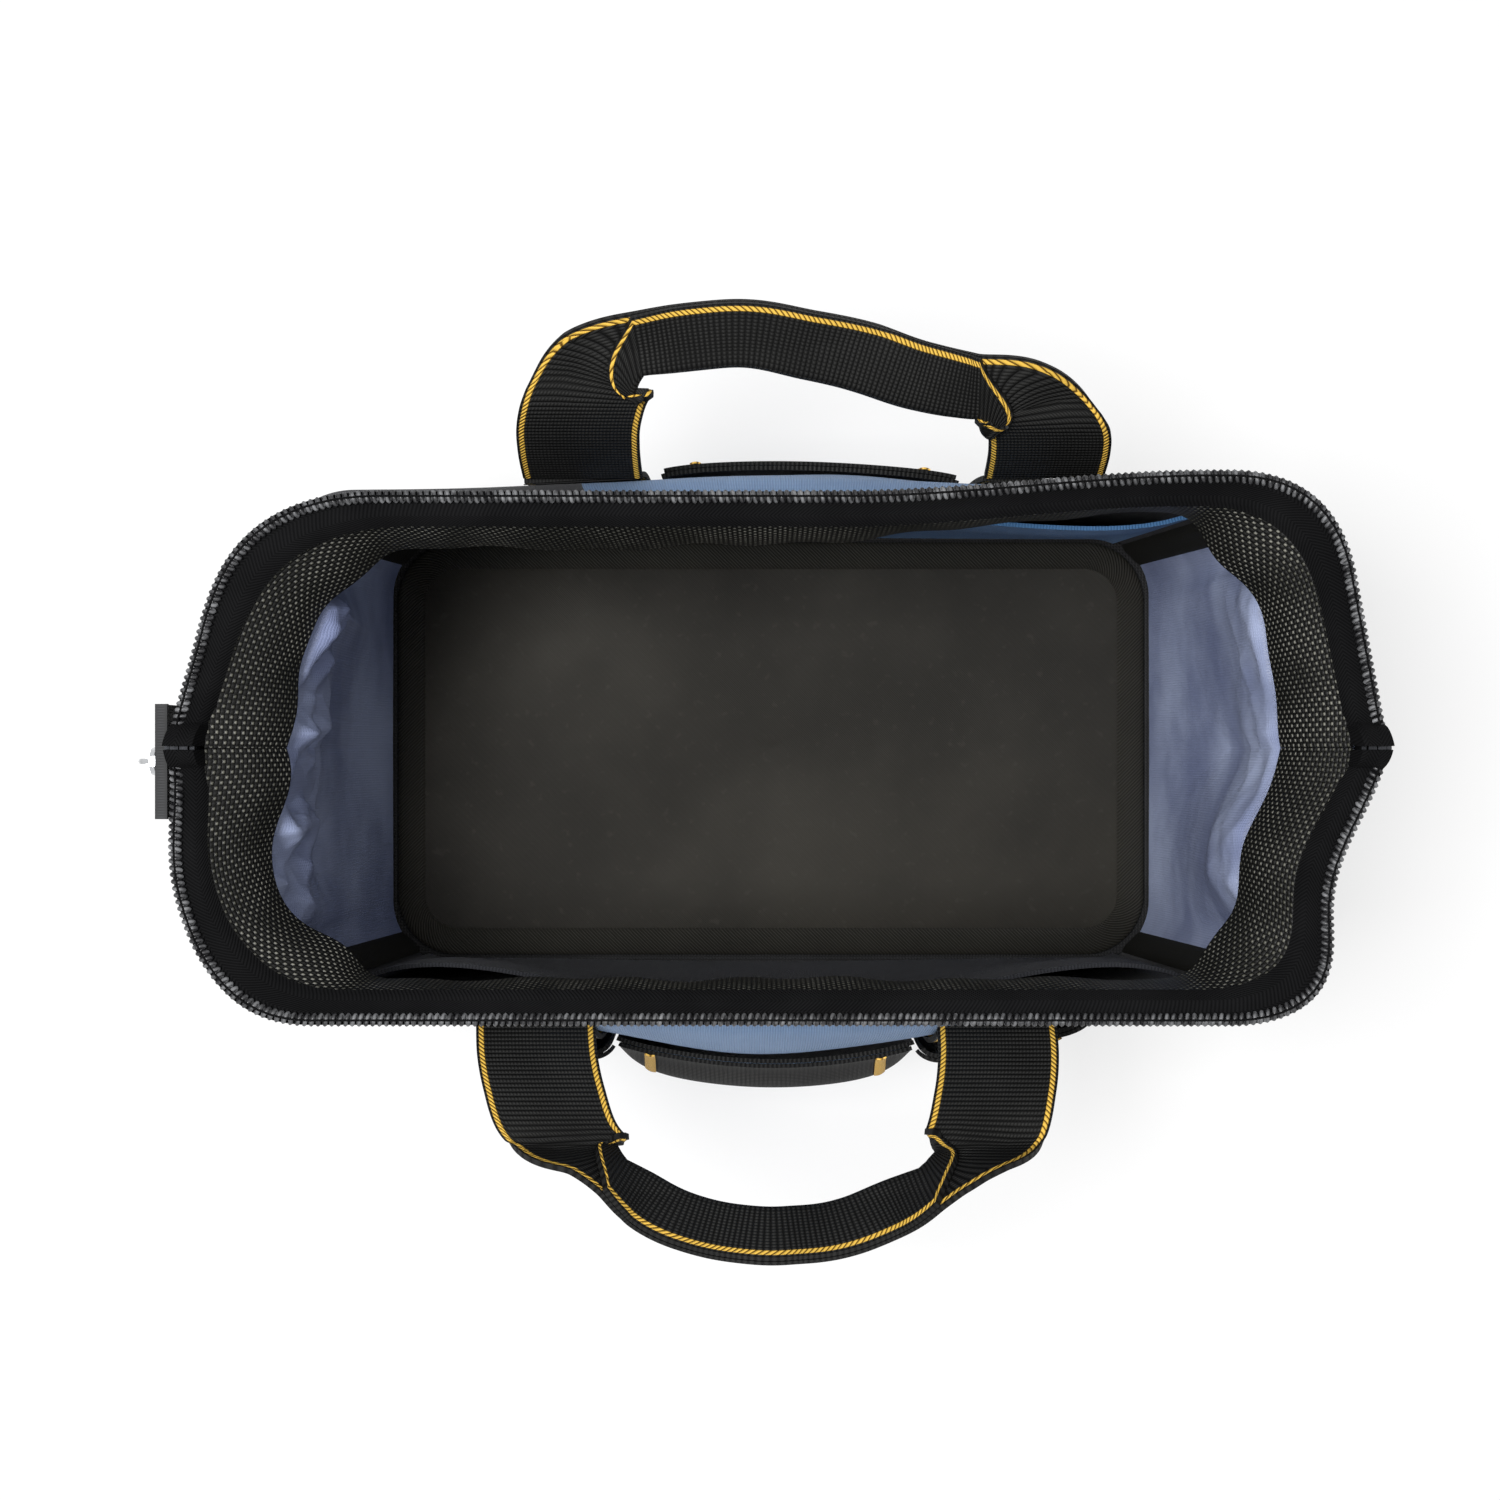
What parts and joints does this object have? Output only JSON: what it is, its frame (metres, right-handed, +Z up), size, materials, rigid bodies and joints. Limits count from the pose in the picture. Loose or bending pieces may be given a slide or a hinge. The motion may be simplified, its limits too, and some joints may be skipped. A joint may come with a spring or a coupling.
{
  "type": "tool tote bag",
  "caption": "Soft wide-mouth tool tote with a hinged mouth frame, a coil zip, folding webbing handles, and pockets inside and out.",
  "frame": {"origin": "middle of the underside, on the surface the bag stands on", "axes": "+Z up, +X along the bag to its right end, -Y towards its front, metres"},
  "size_m": [0.371, 0.2855, 0.2175],
  "materials": {
    "black_fabric": "matte coated weave",
    "grey_fabric": "matte twill",
    "blue_fabric": "coarse plain weave",
    "lining_fabric": "satin coated lining",
    "floor_fabric": "coated board cover",
    "binding_tape": "ribbed tape",
    "webbing": "ribbed webbing with stitched edges",
    "sleeve_webbing": "coarse weave",
    "zip_tape": "fine twill tape",
    "zip_coil": "moulded coil",
    "board": "stiffener board",
    "steel": "drawn rod",
    "slider_metal": "plated"
  },
  "bodies": {
    "bag": {"base_panel": "black_fabric", "base_board": "board", "floor_insert": "floor_fabric", "floor_binding": "binding_tape", "front_wall": "blue_fabric", "rear_wall": "blue_fabric", "left_end_wall": "lining_fabric", "right_end_wall": "lining_fabric", "front_left_seam_binding": "binding_tape", "front_right_seam_binding": "binding_tape", "rear_left_seam_binding": "binding_tape", "rear_right_seam_binding": "binding_tape", "left_pivot_rivet": "steel", "right_pivot_rivet": "steel", "front_centre_pocket": "blue_fabric", "front_centre_pocket_hem": "webbing", "front_left_pocket": "grey_fabric", "front_left_pocket_hem": "webbing", "front_right_pocket": "grey_fabric", "front_right_pocket_hem": "webbing", "rear_pocket": "blue_fabric", "rear_pocket_hem": "webbing", "front_inner_pocket": "grey_fabric", "rear_inner_pocket": "blue_fabric", "front_left_strap": "webbing", "front_right_strap": "webbing", "rear_left_strap": "webbing", "rear_right_strap": "webbing", "zip_tail": "zip_tape"},
    "front_frame": {"front_frame_rod": "steel", "front_frame_sleeve": "sleeve_webbing", "front_rim_hem": "black_fabric", "front_zip_tape": "zip_tape", "front_zip_coil": "zip_coil"},
    "rear_frame": {"rear_frame_rod": "steel", "rear_frame_sleeve": "sleeve_webbing", "rear_rim_hem": "black_fabric", "rear_zip_tape": "zip_tape", "rear_zip_coil": "zip_coil"},
    "front_handle": {"front_handle": "webbing"},
    "rear_handle": {"rear_handle": "webbing"},
    "slider": {"zip_slider": "slider_metal"},
    "pull": {"zip_pull": "slider_metal"}
  },
  "joints": [
    {"name": "front_frame_swing", "type": "hinge", "parent": "bag", "child": "front_frame", "pos_m": [0, 0, 0.213], "axis": [-1, 0, 0], "range_deg": [0, 84]},
    {"name": "rear_frame_swing", "type": "hinge", "parent": "bag", "child": "rear_frame", "pos_m": [0, 0, 0.213], "axis": [1, 0, 0], "range_deg": [0, 84]},
    {"name": "front_handle_swing", "type": "hinge", "parent": "bag", "child": "front_handle", "pos_m": [-0.003, -0.0886, 0.16], "axis": [-1, 0, 0], "range_deg": [-58, 46]},
    {"name": "rear_handle_swing", "type": "hinge", "parent": "bag", "child": "rear_handle", "pos_m": [0.012, 0.08677, 0.16], "axis": [1, 0, 0], "range_deg": [-84, 24]},
    {"name": "slider_run", "type": "slide", "parent": "bag", "child": "slider", "axis": [0, 0, -1], "range_m": [0, 0.022]},
    {"name": "pull_swing", "type": "hinge", "parent": "slider", "child": "pull", "pos_m": [-0.1884, -0.004, 0.20075], "axis": [0, 1, 0], "range_deg": [0, 150]}
  ]
}
